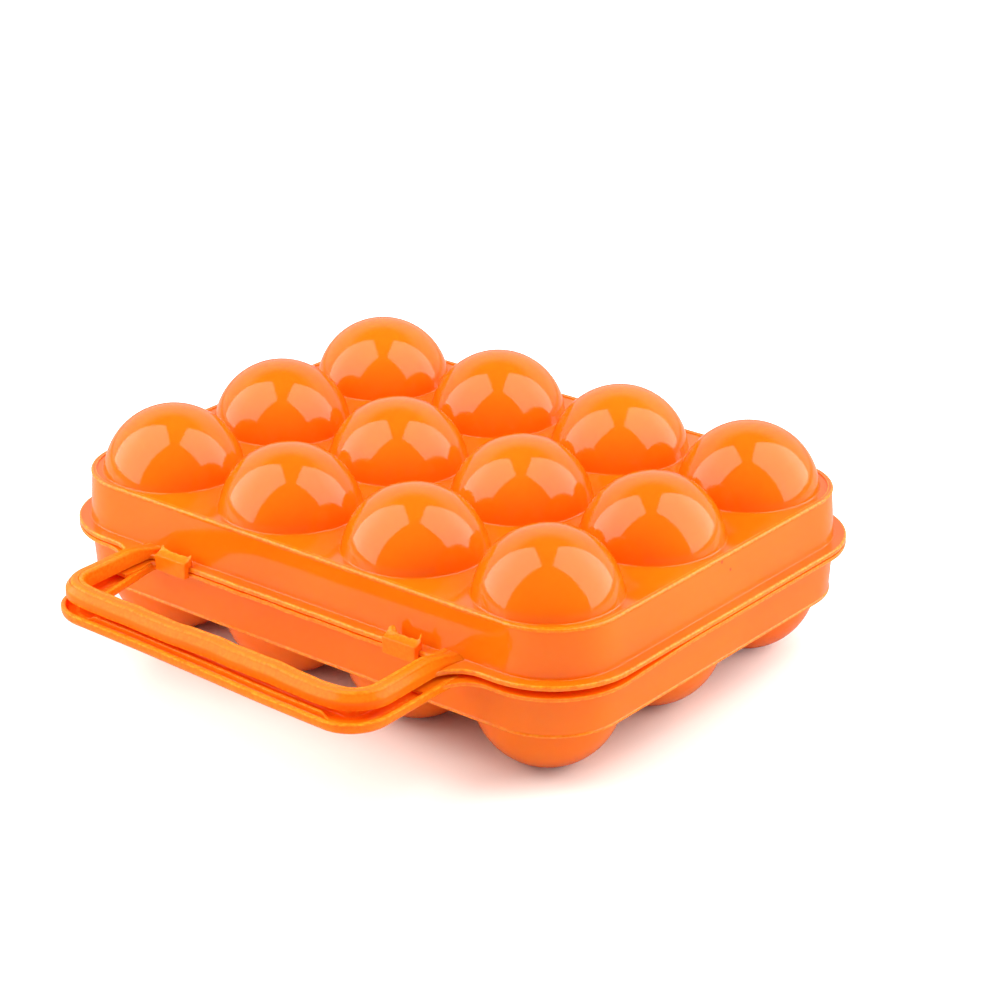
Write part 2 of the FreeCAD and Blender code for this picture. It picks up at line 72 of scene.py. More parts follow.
def sideNormals(along):
    # Unit vectors to the right of a path's directions
    normal = np.stack([along[:, 1], -along[:, 0]], axis=-1)
    return normal / np.linalg.norm(normal, axis=1, keepdims=True)


def closeEnds(points):
    # Adds a line at each end with all its points in the end's middle, so that the ends are closed
    first, last = (np.repeat(line.mean(axis=1, keepdims=True), points.shape[1], axis=1)
                   for line in (points[:1], points[-1:]))
    return np.concatenate([first, points, last])


def gridSheet(points, closeColumns=False, flip=False, edge=0.0):
    # Quads between neighbouring points of a grid; closed columns join the last one to the first
    rows, columns = points.shape[:2]
    index = np.arange(rows * columns).reshape(rows, columns)
    if closeColumns:
        index = np.concatenate([index, index[:, :1]], axis=1)
    quads = np.stack([index[:-1, :-1], index[1:, :-1], index[1:, 1:], index[:-1, 1:]], axis=-1)
    quads = quads.reshape(-1, 4)
    mask = np.broadcast_to(edge, (rows, columns))
    return points.reshape(-1, 3), quads[:, ::-1] if flip else quads, mask.reshape(-1)


def makePiece(name, sheets, body, node, material, sharpAngle=40.0):
    # Joins the sheets into one mesh, welds points that coincide and drops sides of no length
    sheetPoints, sheetQuads, sheetMasks = zip(*sheets)
    starts = np.cumsum([0] + [len(points) for points in sheetPoints])
    points = np.concatenate(sheetPoints)
    quads = np.concatenate([quads + start for quads, start in zip(sheetQuads, starts)])
    masks = np.concatenate(sheetMasks)
    first, weld = np.unique(np.round(points, field["weldDigits"]), axis=0,
                            return_index=True, return_inverse=True)[1:]
    quads = weld.reshape(-1)[quads]
    kept = quads != np.roll(quads, -1, axis=1)
    sides = kept.sum(axis=1)
    real = sides > 2
    corners, sides = quads[real][kept[real]], sides[real]
    placed = points[first] + np.array([0.0, field["middleY"], field["partingZ"]])
    mesh = bpy.data.meshes.new(name)
    mesh.vertices.add(len(placed))
    mesh.vertices.foreach_set("co", (placed * field["metres"]).astype(np.float32).ravel())
    mesh.loops.add(len(corners))
    mesh.loops.foreach_set("vertex_index", corners.astype(np.int32))
    mesh.polygons.add(len(sides))
    loopStarts = np.concatenate([[0], np.cumsum(sides)[:-1]])
    mesh.polygons.foreach_set("loop_start", loopStarts.astype(np.int32))
    mesh.polygons.foreach_set("use_smooth", np.ones(len(sides), dtype=bool))
    mesh.update(calc_edges=True)
    mesh.validate()
    # Edge mask, which the plastic paints pale: partly real trimmed edges, partly painted highlight
    edge = mesh.attributes.new("edge", "FLOAT", "POINT")
    edge.data.foreach_set("value", masks[first].astype(np.float32))
    mesh.set_sharp_from_angle(angle=math.radians(sharpAngle))
    piece = bpy.data.objects.new(name, mesh)
    bpy.context.scene.collection.objects.link(piece)
    mesh.materials.append(material)
    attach(piece, body)
    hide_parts(node)
    print("made", name, len(placed), "points", int((sides - 2).sum()), "triangles")


# Shader sockets with arithmetic: an expression on values adds its Math nodes
class Wire:
    def __init__(self, tree, socket):
        self.tree = tree
        self.socket = socket

    def maths(self, operation, first, second):
        return self.tree.add("ShaderNodeMath", {0: first, 1: second}, operation=operation)

    def __add__(self, other):
        return self.maths("ADD", self, other)

    def __radd__(self, other):
        return self.maths("ADD", other, self)

    def __rsub__(self, other):
        return self.maths("SUBTRACT", other, self)

    def __mul__(self, other):
        return self.maths("MULTIPLY", self, other)

    def __rmul__(self, other):
        return self.maths("MULTIPLY", other, self)


class Tree:
    def __init__(self, owner):
        owner.use_nodes = True
        self.nodes = owner.node_tree.nodes
        self.links = owner.node_tree.links
        self.nodes.clear()

    def add(self, kind, inputs=None, output=0, **settings):
        # One node: its settings first, then the values or links of its sockets; gives an output back
        node = self.nodes.new(kind)
        for name, setting in settings.items():
            setattr(node, name, setting)
        for name, given in (inputs or {}).items():
            if isinstance(given, Wire):
                self.links.new(given.socket, node.inputs[name])
            else:
                node.inputs[name].default_value = given
        return Wire(self, node.outputs[output]) if len(node.outputs) else None

    def noise(self, place, scale, detail):
        return self.add("ShaderNodeTexNoise", {"Vector": place, "Scale": scale, "Detail": detail})

    def band(self, wire, low, high):
        # Nought below low, one above high, smooth between
        return self.add("ShaderNodeMapRange", {"Value": wire, "From Min": low, "From Max": high},
                        interpolation_type="SMOOTHSTEP")

    def mixColour(self, factor, first, second):
        # Sockets 6 and 7 are the Mix node's two colours, and output 2 is the mixed one
        return self.add("ShaderNodeMix", {0: factor, 6: first, 7: second}, 2, data_type="RGBA")


plastic = {"body": (0.96, 0.20, 0.004, 1.0), "deep": (0.95, 0.17, 0.003, 1.0),
           "paleEdgeAndHighlight": (1.0, 0.44, 0.025, 1.0), "speck": (0.42, 0.045, 0.006, 1.0),
           "through": (1.0, 0.13, 0.012, 1.0), "throughShare": 0.26, "index": 1.49,
           "cloudScale": 18.0, "cloudBand": (0.35, 0.7), "cloudRough": 0.05,
           "grainScale": 900.0, "rimBand": (0.2, 0.9), "rimRough": 0.05,
           "speckScale": 62.0, "speckSize": (0.02, 0.04), "speckRarity": (0.90, 0.92), "speckShare": 0.8,
           "scratchScale": 120.0, "scratchBand": (0.62, 0.78), "scratchLift": 0.6,
           "scratchTurn": (0.3, 0.2, 0.5), "scratchStretch": (1.0, 14.0, 1.0),
           "swellScale": 55.0, "swellHeight": 0.0006, "grainHeight": 0.0001, "grainStrength": 0.06,
           "glowShare": 0.25, "glowReach": (1.0, 0.28, 0.06), "glowDepth": 0.003}


def orangePlastic(name, roughness, shine, wavy, scuff):
    # Glossy translucent moulding: cloudy pigment, pale edges (real on trimmed edges and flash, painted
    # highlight on rounded edges and latch tops), a few specks, faint flow ripple
    material = bpy.data.materials.new(name)
    tree = Tree(material)
    place = tree.add("ShaderNodeTexCoord", output="Object")
    cloud = tree.noise(place, plastic["cloudScale"], 3.0)
    grain = tree.noise(place, plastic["grainScale"], 2.0)
    swell = tree.noise(place, plastic["swellScale"], 1.0)
    brushed = tree.add("ShaderNodeMapping", {"Vector": place, "Rotation": plastic["scratchTurn"],
                                             "Scale": plastic["scratchStretch"]})
    scratch = tree.band(tree.noise(brushed, plastic["scratchScale"], 4.0), *plastic["scratchBand"])
    dots = {"Vector": place, "Scale": plastic["speckScale"]}
    nearDot = tree.add("ShaderNodeTexVoronoi", dots, "Distance")
    draw = tree.add("ShaderNodeSeparateColor", {"Color": tree.add("ShaderNodeTexVoronoi", dots, "Color")})
    speck = (1 - tree.band(nearDot, *plastic["speckSize"])) * tree.band(draw, *plastic["speckRarity"])
    rim = tree.add("ShaderNodeAttribute", output="Fac", attribute_name="edge")
    colour = tree.mixColour(tree.band(cloud, *plastic["cloudBand"]), plastic["deep"], plastic["body"])
    # Pale colour on the edge mask: the real paler trimmed edges and flash, and also a painted highlight on
    # rounded edges and a painted lit top on the latches
    colour = tree.mixColour(rim * tree.band(grain, *plastic["rimBand"]), colour, plastic["paleEdgeAndHighlight"])
    colour = tree.mixColour(speck * plastic["speckShare"], colour, plastic["speck"])
    rough = roughness + plastic["cloudRough"] * cloud + scuff * scratch + plastic["rimRough"] * rim
    lift = tree.add("ShaderNodeBump", {"Strength": wavy, "Distance": plastic["swellHeight"],
                                       "Height": swell})
    lift = tree.add("ShaderNodeBump", {
        "Strength": plastic["grainStrength"], "Distance": plastic["grainHeight"],
        "Height": grain + plastic["scratchLift"] * scratch, "Normal": lift})
    skin = tree.add("ShaderNodeBsdfPrincipled", {
        "Base Color": colour, "Roughness": rough, "Normal": lift, "IOR": plastic["index"],
        "Specular IOR Level": shine, "Subsurface Weight": plastic["glowShare"],
        "Subsurface Radius": plastic["glowReach"], "Subsurface Scale": plastic["glowDepth"]})
    through = tree.add("ShaderNodeBsdfTranslucent", {"Color": plastic["through"]})
    mixed = tree.add("ShaderNodeMixShader", {"Fac": plastic["throughShare"], 1: skin, 2: through})
    tree.add("ShaderNodeOutputMaterial", {"Surface": mixed})
    return material


shellPlastic = orangePlastic("shellPlastic", roughness=0.055, shine=0.5, wavy=0.05, scuff=0.05)
gripPlastic = orangePlastic("gripPlastic", roughness=0.14, shine=0.18, wavy=0.2, scuff=0.10)
hingePlastic = orangePlastic("hingePlastic", roughness=0.18, shine=0.4, wavy=0.05, scuff=0.08)
print("plastics ready")

# The two mouldings. A shell is one profile carried round a rounded rectangle, from the inner deck over
# the inner wall, the flange and the skirt to the rim, then a deck and a dome for each cup
shell = {"halfX": 96.4, "halfY": 71.4, "corner": 22.4, "overhang": 3.6, "seam": 0.2,
         "flangeTop": 1.6, "deck": 16.0, "draft": 1.0, "wall": 1.4, "fillet": 0.3, "edgeRound": 0.5,
         "nip": 0.06, "trim": 0.2,  # corners of the trimmed edges
         "rimWidth": 1.5, "rimHeight": 0.4, "rimRound": 0.35, "beadRound": 0.62, "beadFlat": 0.53,
         "sphere": 21.2, "foot": 0.5, "footSteps": 7, "outerRows": 20, "innerRows": 8,
         "deckShares": (0.0, 0.06, 0.5, 0.94, 1.0),
         "rootLength": 13.0, "flare": 10.2, "flareLead": 0.8, "flareSteps": 24,  # roots of the handle
         "innerFlare": 2.0, "innerLead": 3.0, "innerSteps": 10, "tuck": 0.5, "rootShare": 0.35,
         "flashEnd": 36.0, "flashFull": 30.0, "flashBase": 0.4, "flashSeed": 11,
         "flashWaves": ((23.0, 0.5), (9.0, 0.4), (4.3, 0.25)),
         "warpFrom": 3.0, "droopTop": 15.0, "droopFrom": 80.0, "droopFull": 118.0, "diagonal": 0.7071,
         "setFrom": 75.0, "setLength": 28.0,  # set of the handle, which the flange follows
         "hingeX": 45.0, "notchY": 72.52}
sideTurns = {"front": 270.0, "right": 360.0, "back": 450.0, "left": 540.0}  # outward, in degrees
lidLoop = {"sign": 1.0, "span": 120.0, "reach": 38.0, "width": 5.4, "low": 0.3, "high": 5.0,
           "corner": 12.0, "round": 1.6, "wall": 1.4, "rib": 0.0, "facet": 2.0, "crease": 0.2,
           "leftStep": (0.7, 1.5, 0.0), "rightStep": (0.6, 0.0, -0.4), "sink": 2.2, "spread": 0.5,
           "seed": 3, "waves": ((62.0, 0.22), (27.0, 0.14), (11.0, 0.06))}
trayLoop = {"sign": -1.0, "span": 126.0, "reach": 42.2, "width": 9.6, "low": 0.9, "high": 4.4,
            "corner": 12.5, "round": 2.4, "wall": 1.4, "rib": 1.6, "facet": 0.0, "crease": 0.0,
            "leftStep": (5.0, 2.4, 0.0), "rightStep": (0.9, -1.4, 0.0), "sink": 0.0, "spread": 0.0,
            "seed": 8, "waves": ((80.0, 0.15), (31.0, 0.07))}
lidHalf = {"sign": 1.0, "middle": 13.8, "flat": 0.0, "rootOuter": 60.0, "rootInner": 54.6,
           "notch": 9.6, "sag": 1.4, "droop": 0.0, "flash": 0.12, "loop": lidLoop}
trayHalf = {"sign": -1.0, "middle": 14.181, "flat": 4.0, "rootOuter": 63.0, "rootInner": 53.4,
            "notch": 9.3, "sag": 0.0, "droop": 1.7, "flash": 0.35, "loop": trayLoop}
centres = np.array([((i - (field["columns"] - 1) / 2) * field["pitch"],
                     (j - (field["rows"] - 1) / 2) * field["pitch"])
                    for i in range(field["columns"]) for j in range(field["rows"])])


def cornerRun(start, core, near, nearShare, arcShare):
    # Half of one side, from a cell's edge to the middle of the corner's arc, at even shares: places along
    # the straight, which is at near by nearShare and ends at core by arcShare, then angles of the arc
    share = np.linspace(0.0, 1.0, field["perSide"] + 1)
    along = np.interp(share, [0.0, nearShare, arcShare, 1.0], [start, near, core, core])
    return along, np.interp(share, [arcShare, 1.0], [0.0, 45.0])


def sideSamples():
    # Core points and outward angles of the fourteen outer cell sides, anticlockwise from the middle of the
    # front left corner; each side has perSide + 1 samples
    pitch = field["pitch"]
    coreX, coreY = shell["halfX"] - shell["corner"], shell["halfY"] - shell["corner"]
    even = np.linspace(0.0, 1.0, field["perSide"] + 1)
    still = 0 * even
    frontX, frontTurn = cornerRun(pitch, coreX, near=72.0, nearShare=0.62, arcShare=0.66)
    backX, backTurn = cornerRun(pitch, coreX, near=70.0, nearShare=0.55, arcShare=0.6)
    sideY, sideTurn = cornerRun(pitch / 2, coreY, near=46.0, nearShare=0.5, arcShare=0.55)

    def between(start, end):
        return np.interp(even, [0.0, 1.0], [start, end])

    def run(side, x, y, turn):
        return np.stack([x + still, y + still, sideTurns[side] + turn], axis=-1)

    front = [run("front", -frontX, -coreY, -frontTurn)[::-1],
             run("front", between(-pitch, 0.0), -coreY, still),
             run("front", between(0.0, pitch), -coreY, still),
             run("front", frontX, -coreY, frontTurn)]
    right = [run("right", coreX, -sideY, -sideTurn)[::-1],
             run("right", coreX, between(-pitch / 2, pitch / 2), still),
             run("right", coreX, sideY, sideTurn)]
    back = [run("back", backX, coreY, -backTurn)[::-1],
            run("back", between(pitch, 0.0), coreY, still),
            run("back", between(0.0, -pitch), coreY, still),
            run("back", -backX, coreY, backTurn)]
    left = [run("left", -coreX, sideY, -sideTurn)[::-1],
            run("left", -coreX, between(pitch / 2, -pitch / 2), still),
            run("left", -coreX, -sideY, sideTurn)]
    return front, right, back, left


def outlineAt(samples, d):
    return samples[..., :2] + (shell["corner"] + d) * heading(np.radians(samples[..., 2]))


def atHinge(samples, half):
    # Marks the samples of the back side that lie in a hinge notch
    away = np.abs(np.abs(samples[:, 0]) - shell["hingeX"])
    return (samples[:, 2] == sideTurns["back"]) & (away < half["notch"])


def flangeEdge(samples, half):
    # Outer edge of the flange: the rounded rectangle, but on the front it follows the handle's two
    # flared roots, and at the back it steps in at the two hinge notches
    edge = outlineAt(samples, shell["overhang"])
    edgeY = shell["halfY"] + shell["overhang"]
    outer, inner = half["rootOuter"] - shell["tuck"], half["rootInner"] + shell["tuck"]
    tip, flare, innerFlare = edgeY + shell["rootLength"], shell["flare"], shell["innerFlare"]
    start, end = outer + flare + shell["flareLead"], inner - innerFlare - shell["innerLead"]
    many, few = shell["flareSteps"], shell["innerSteps"]
    big = arc(outer + flare, edgeY + flare, flare, 270.0, 180.0, many)
    small = arc(inner - innerFlare, edgeY + innerFlare, innerFlare, 0.0, -90.0, few)
    root = np.concatenate([[[start, edgeY]], big, [[outer, tip], [inner, tip]], small, [[end, edgeY]]])
    run = np.concatenate([[0.0], np.cumsum(np.hypot(*np.diff(root, axis=0).T))])
    # Places on the straight front, and the points of the root that they are laid on
    middle, spread = 0.5 * (outer + inner), shell["rootShare"] * (outer - inner)
    places = np.array([start, outer + flare, outer - 0.2, middle + spread, middle - spread, inner + 0.6,
                       inner - innerFlare, end])
    laid = run[[0, 1, many, many + 1, many + 2, many + 3, many + few + 2, many + few + 3]]
    front = samples[:, 2] == sideTurns["front"]
    away = np.abs(samples[:, 0])
    near = front & (away < start) & (away > end)
    along = np.interp(-away[near], -places, laid)
    edge[near, 0] = np.sign(samples[near, 0]) * np.interp(along, run, root[:, 0])
    edge[near, 1] = -np.interp(along, run, root[:, 1])
    between = front & (away < shell["flashEnd"])  # flash stays clear of the latches
    fade = smoothStep(shell["flashEnd"], shell["flashFull"], away[between])
    flash = shell["flashBase"] + ripple(samples[between, 0], shell["flashSeed"], shell["flashWaves"])
    edge[between, 1] -= half["flash"] * fade * np.maximum(0.0, flash)
    edge[atHinge(samples, half), 1] = shell["notchY"]
    return edge


def shellProfile():
    # Loops of the profile from the inner deck to the outer deck. A loop is (onEdge, distance, height,
    # mask): it lies a distance inside the flange's edge, or if not onEdge, outside the skirt's foot
    wall, seam, deck, top = shell["wall"], shell["seam"], shell["deck"], shell["flangeTop"]
    draft, fillet, edgeRound = shell["draft"], shell["fillet"], shell["edgeRound"]
    nip, trim = shell["nip"], shell["trim"]
    rimHeight, rimRound, beadRound = shell["rimHeight"], shell["rimRound"], shell["beadRound"]
    loops = []

    def put(onEdge, pairs, mask=0.0):
        loops.extend((onEdge, d, h, mask) for d, h in np.asarray(pairs, dtype=float).reshape(-1, 2))

    # Inner deck and inner wall
    inside, ceiling = -wall - draft, deck - wall
    put(False, [(inside - 1.2, ceiling), (inside - 1.0, ceiling)])
    put(False, arc(inside - 0.9, ceiling - 0.9, 0.9, 90.0, 0.0, 5)[1:])
    put(False, [(-wall, seam + 0.35), (-wall, seam + trim)])
    put(False, [(-wall + nip, seam + nip), (-wall + trim, seam)], 0.5)
    # Underside, edge and top of the flange; their mask paints the trimmed edge pale, partly as real
    # trimming and partly as a painted highlight on its round
    put(False, [(0.3, seam)])
    put(True, [(0.5, seam), (trim, seam)])
    put(True, [(nip, seam + nip), (0.0, seam + trim)], 0.8)
    put(True, [(0.0, seam + 0.4), (0.0, top - edgeRound - 0.1)], 0.4)
    over = arc(-edgeRound, top - edgeRound, edgeRound, 0.0, 90.0, 6)
    put(True, np.stack([-over[:, 0], over[:, 1]], axis=-1), 1.0)
    put(True, [(edgeRound + 0.2, top)])
    # Foot of the skirt and the leaning skirt
    lean, neck = draft / (deck - seam), deck - 0.75
    put(False, [(fillet + 0.15, top)])
    put(False, arc(fillet - 0.1, top + fillet, fillet, 270.0, 180.0, 7))
    put(False, [(-lean * 2.5, top + fillet + 0.3), (-lean * 8.0, 8.0), (-lean * neck, neck - 0.25),
                (-lean * neck - 0.04, neck - 0.05)])
    # Rim's bead, its flat top and its inner side down to the deck
    bead, rimIn = deck + rimHeight - beadRound, -draft - shell["rimWidth"]
    # The bead's two rounded edges get the edge mask: a painted highlight in pale colour
    put(False, arc(-draft - 0.36, bead, beadRound, -50.0, 90.0, 9), 0.7)
    put(False, [(-draft - beadRound, bead + shell["beadFlat"]), (rimIn + 0.6, bead + shell["beadFlat"])])
    put(False, arc(rimIn + rimRound, deck + rimHeight - rimRound, rimRound, 90.0, 180.0, 5), 0.7)
    put(False, [(rimIn - 0.05, deck + 0.03), (rimIn - 0.15, deck), (rimIn - 0.35, deck)])
    return loops


def cellLoops(samples, d):
    # Closed outline of each cell's piece of deck, anticlockwise from its front left corner, as an array of
    # cells x points x 2; outer sides run along the outline at distance d
    fronts, rights, backs, lefts = ([outlineAt(side, d)[:-1] for side in sides] for sides in samples)
    columns, rows, pitch, per = (field[name] for name in ("columns", "rows", "pitch", "perSide"))
    share = (np.arange(per) / per)[:, None]
    gridX = np.array([-shell["halfX"] - d, -pitch, 0.0, pitch, shell["halfX"] + d])
    gridY = np.array([-shell["halfY"] - d, -pitch / 2, pitch / 2, shell["halfY"] + d])
    grid = np.stack(np.meshgrid(gridX, gridY, indexing="ij"), axis=-1)

    def inner(start, end):
        return start + share * (end - start)

    loops = []
    for i in range(columns):
        for j in range(rows):
            frontLeft, frontRight = grid[i, j], grid[i + 1, j]
            backLeft, backRight = grid[i, j + 1], grid[i + 1, j + 1]
            loops.append(np.concatenate([
                fronts[i] if j == 0 else inner(frontLeft, frontRight),
                rights[j] if i == columns - 1 else inner(frontRight, backRight),
                backs[columns - 1 - i] if j == rows - 1 else inner(backRight, backLeft),
                lefts[rows - 1 - j] if i == 0 else inner(backLeft, frontLeft)]))
    return np.array(loops)


def domeProfile(half, inset, rows):
    # Radius and height from the deck over the foot's fillet and up the sphere to the crown
    sphere, foot, deck = shell["sphere"], shell["foot"], shell["deck"]
    above = deck + foot - half["middle"]
    footX = math.sqrt((sphere + foot) ** 2 - above ** 2)
    rise = math.degrees(math.atan2(above, footX))
    crown = 90.0
    if half["flat"] and not inset:
        crown = math.degrees(math.acos(half["flat"] / sphere))
    bend = arc(footX, deck + foot, foot + inset, 270.0, 180.0 + rise, shell["footSteps"])
    ball = arc(0.0, half["middle"], sphere - inset, rise, crown, rows)[1:]
    profile = np.concatenate([bend, ball])
    if crown < 90.0:
        top = profile[-1, 1]
        profile = np.concatenate([profile, [[half["flat"] - 0.2, top], [0.0, top]]])
    profile[-1, 0] = 0.0
    return footX, profile


def handleSet(loop, x, y):
    # Set of the real handle: each front corner is moved by its own step, growing from nothing at the flange
    out = np.clip((-y - shell["setFrom"]) / shell["setLength"], 0.0, 1.0)
    side = smoothStep(-loop["span"] / 2, loop["span"] / 2, x)
    left, right = np.array(loop["leftStep"]), np.array(loop["rightStep"])
    return out[..., None] * (left + (right - left) * side[..., None])


def finishShell(points, half):
    # Warp of the thin moulding: the deck sags towards the middle, the flange droops at one corner and takes
    # the handle's set; the tray is then turned upside down
    x, y, h = points[..., 0], points[..., 1], points[..., 2]
    bowlX = np.clip(1.0 - (x / shell["halfX"]) ** 2, 0.0, 1.0)
    bowlY = np.clip(1.0 - (y / shell["halfY"]) ** 2, 0.0, 1.0)
    sag = half["sag"] * smoothStep(shell["warpFrom"], shell["deck"], h) * (bowlX * bowlY) ** 2
    corner = smoothStep(shell["droopFrom"], shell["droopFull"], (x - y) * shell["diagonal"])
    droop = half["droop"] * corner * (1.0 - smoothStep(shell["warpFrom"], shell["droopTop"], h))
    bent = np.stack([x, y, h - sag + droop], axis=-1) + handleSet(half["loop"], x, y)
    bent[..., 2] *= half["sign"]
    return bent


def cupSheets(half, samples, inset, rows, distance, height):
    # Deck and dome of every cup on one skin of the shell, a sheet for each cell
    outline = cellLoops(samples, distance)
    away = outline - centres[:, None]
    ring = heading(np.arctan2(away[..., 1], away[..., 0]))
    footX, profile = domeProfile(half, inset, rows)
    # Deck: straight lines from the cell's outline in to the dome's foot, held flat near both ends
    share = np.array(shell["deckShares"])[None, :, None, None]
    foot = centres[:, None] + footX * ring
    deck = outline[:, None] + share * (foot - outline)[:, None]
    deck = np.concatenate([deck, np.full(deck.shape[:-1] + (1,), height)], axis=-1)
    # Dome: the profile turned about the cup's own axis
    flat = centres[:, None, None] + profile[None, :, None, :1] * ring[:, None]
    tall = np.broadcast_to(profile[None, :, None, 1:], flat.shape[:-1] + (1,))
    dome = np.concatenate([flat, tall], axis=-1)
    flip = (half["sign"] > 0) == (inset == 0.0)
    return [gridSheet(finishShell(cell, half), closeColumns=True, flip=flip)
            for cell in np.concatenate([deck[:, :-1], dome], axis=1)]


def makeShell(name, half, body, node):
    samples = sideSamples()
    path = np.concatenate([side[:-1] for sides in samples for side in sides])
    edge = flangeEdge(path, half)
    edgeNormal = sideNormals(np.roll(edge, -1, axis=0) - np.roll(edge, 1, axis=0))
    skirt, way = outlineAt(path, 0.0), heading(np.radians(path[:, 2]))
    reach = np.where(atHinge(path, half), shell["notchY"] - shell["halfY"], np.inf)
    loops = shellProfile()
    rings = []
    for onEdge, distance, height, mask in loops:
        out = np.minimum(distance, reach)[:, None]
        flat = edge - distance * edgeNormal if onEdge else skirt + out * way
        rings.append(np.concatenate([flat, np.full((len(flat), 1), height)], axis=1))
    masks = np.array([mask for onEdge, distance, height, mask in loops])[:, None]
    sheets = [gridSheet(finishShell(np.array(rings), half), closeColumns=True, flip=half["sign"] > 0,
                        edge=masks)]
    sheets += cupSheets(half, samples, 0.0, shell["outerRows"], loops[-1][1], shell["deck"])
    sheets += cupSheets(half, samples, shell["wall"], shell["innerRows"], loops[0][1],
                        shell["deck"] - shell["wall"])
    makePiece(name, sheets, body, node, shellPlastic)


makeShell("lidCover", lidHalf, "lid", "lid_cover")
makeShell("trayShell", trayHalf, "base", "base_tray")

# Handle loops: a channel section carried along a U from one skirt foot round the front bar and back
grip = {"armSteps": 26, "bendSteps": 18, "barSteps": 120, "rootDepth": 0.7, "nip": 0.06, "trim": 0.25,
        "rootY": -71.0, "sinkFrom": -84.0, "spreadFrom": -80.0, "wanderFrom": -95.0, "wanderFull": -105.0,
        "wanderRise": 0.6, "ribEnd": 49.0, "ribFull": 46.0, "edgeRound": 0.7}


def loopPath(loop):
    # Middle line of the loop in plan, with its outward normals, from the left root round to the right one
    edgeY = shell["halfY"] + shell["overhang"]
    x = loop["span"] / 2 - loop["width"] / 2
    y = -(edgeY + loop["reach"] - loop["width"] / 2)
    bend = loop["corner"] - loop["width"] / 2
    root = -(shell["halfY"] - grip["rootDepth"])
    armY = np.linspace(root, y + bend, grip["armSteps"])[:-1]
    barX = np.linspace(-x + bend, x - bend, grip["barSteps"])
    turnLeft = arc(-x + bend, y + bend, bend, 180.0, 270.0, grip["bendSteps"])[:-1]
    turnRight = arc(x - bend, y + bend, bend, 270.0, 360.0, grip["bendSteps"])[1:]
    middle = np.concatenate([np.stack([0 * armY - x, armY], axis=-1), turnLeft,
                             np.stack([barX, 0 * barX + y], axis=-1), turnRight,
                             np.stack([0 * armY + x, armY[::-1]], axis=-1)])
    return middle, sideNormals(np.gradient(middle, axis=0))


def loopSection(loop):
    # Closed channel section, from the outer foot over the back of the channel to the inner foot and back
    # through the hollow; columns are distance outwards, height, edge mask and share of rib
    # The edge mask paints pale: real on the trimmed feet, a painted highlight on the rounded edges
    half, low, high = loop["width"] / 2, loop["low"], loop["high"]
    r, wall, nip, trim = loop["round"], loop["wall"], grip["nip"], grip["trim"]
    inside, floor = max(r - wall, 0.4), high - wall

    def foot(side, way):
        # Trimmed corner of a wall's foot, from the side of the wall to its underside
        return [(side, low + trim, 1.0), (side + nip * way, low + nip, 1.0), (side + trim * way, low, 0.6)]

    def bow(a, h, radius, start, end, count, mask):
        return [(x, y, mask) for x, y in arc(a, h, radius, start, end, count)]

    rows = foot(half, -1)[::-1] + [(half, low + 0.5, 0.2)]
    if loop["facet"]:
        # Outer wall, rounded into a sloped facet, a crease, the top, a second crease and the inner edge
        base, crease, small = high - loop["facet"], loop["crease"], grip["edgeRound"]
        # The rounds beside the creases carry the edge mask: a painted highlight in pale colour
        rows += [(half, base - 0.6, 0.0), (half - 0.06, base - 0.2, 0.2), (half - 0.25, base + 0.15, 0.3),
                 (half - 0.6, base + 0.55, 0.2), (half - 1.25, high - 0.62, 0.2),
                 (half - 1.38, high - 0.62 - crease, 0.0), (half - 1.52, high - 0.42, 0.6),
                 (half - 1.9, high - 0.12, 0.5), (half - 2.3, high, 0.3), (0.0, high, 0.0),
                 (-half + 1.75, high - 0.02, 0.2), (-half + 1.62, high - 0.02 - crease, 0.0),
                 (-half + 1.5, high - 0.02, 0.6)]
        rows += bow(-half + small, high - small, small, 85.0, 180.0, 6, 0.6)
    else:
        # Rounded edges carry the edge mask: a painted highlight in pale colour
        rows += bow(half - r, high - r, r, 0.0, 90.0, 8, 0.3)
        rows += [(0.0, high, 0.0)]
        rows += bow(-half + r, high - r, r, 90.0, 180.0, 8, 0.3)
    rows += [(-half, low + 0.5, 0.2)] + foot(-half, 1) + foot(-half + wall, -1)[::-1]
    rows += bow(-half + wall + inside, floor - inside, inside, 180.0, 90.0, 5, 0.0)
    if loop["rib"]:
        rows += [(-0.9, floor, 0.0, 0.0), (-0.6, floor, 0.0, 0.15), (-0.5, floor, 0.3, 0.85),
                 (-0.35, floor, 1.0, 1.0), (0.35, floor, 1.0, 1.0), (0.5, floor, 0.3, 0.85),
                 (0.6, floor, 0.0, 0.15), (0.9, floor, 0.0, 0.0)]
    rows += bow(half - wall - inside, floor - inside, inside, 90.0, 0.0, 5, 0.0) + foot(half - wall, 1)
    return np.array([(row + (0.0,))[:4] for row in rows])  # no rib where none is given


def bendLoop(points, loop):
    # The handle's set; its arms sink towards their roots, and the trimmed edges of the bar wander a little
    x, y, h = points[..., 0], points[..., 1], points[..., 2]
    tall = h / loop["high"]
    sink = loop["sink"] * tall * smoothStep(grip["sinkFrom"], grip["rootY"], y)
    onBar = smoothStep(grip["wanderFrom"], grip["wanderFull"], y)
    wander = onBar * ripple(x, loop["seed"], loop["waves"])
    bent = np.stack([x, y + wander, h - sink + grip["wanderRise"] * wander * tall], axis=-1)
    return bent + handleSet(loop, x, y)


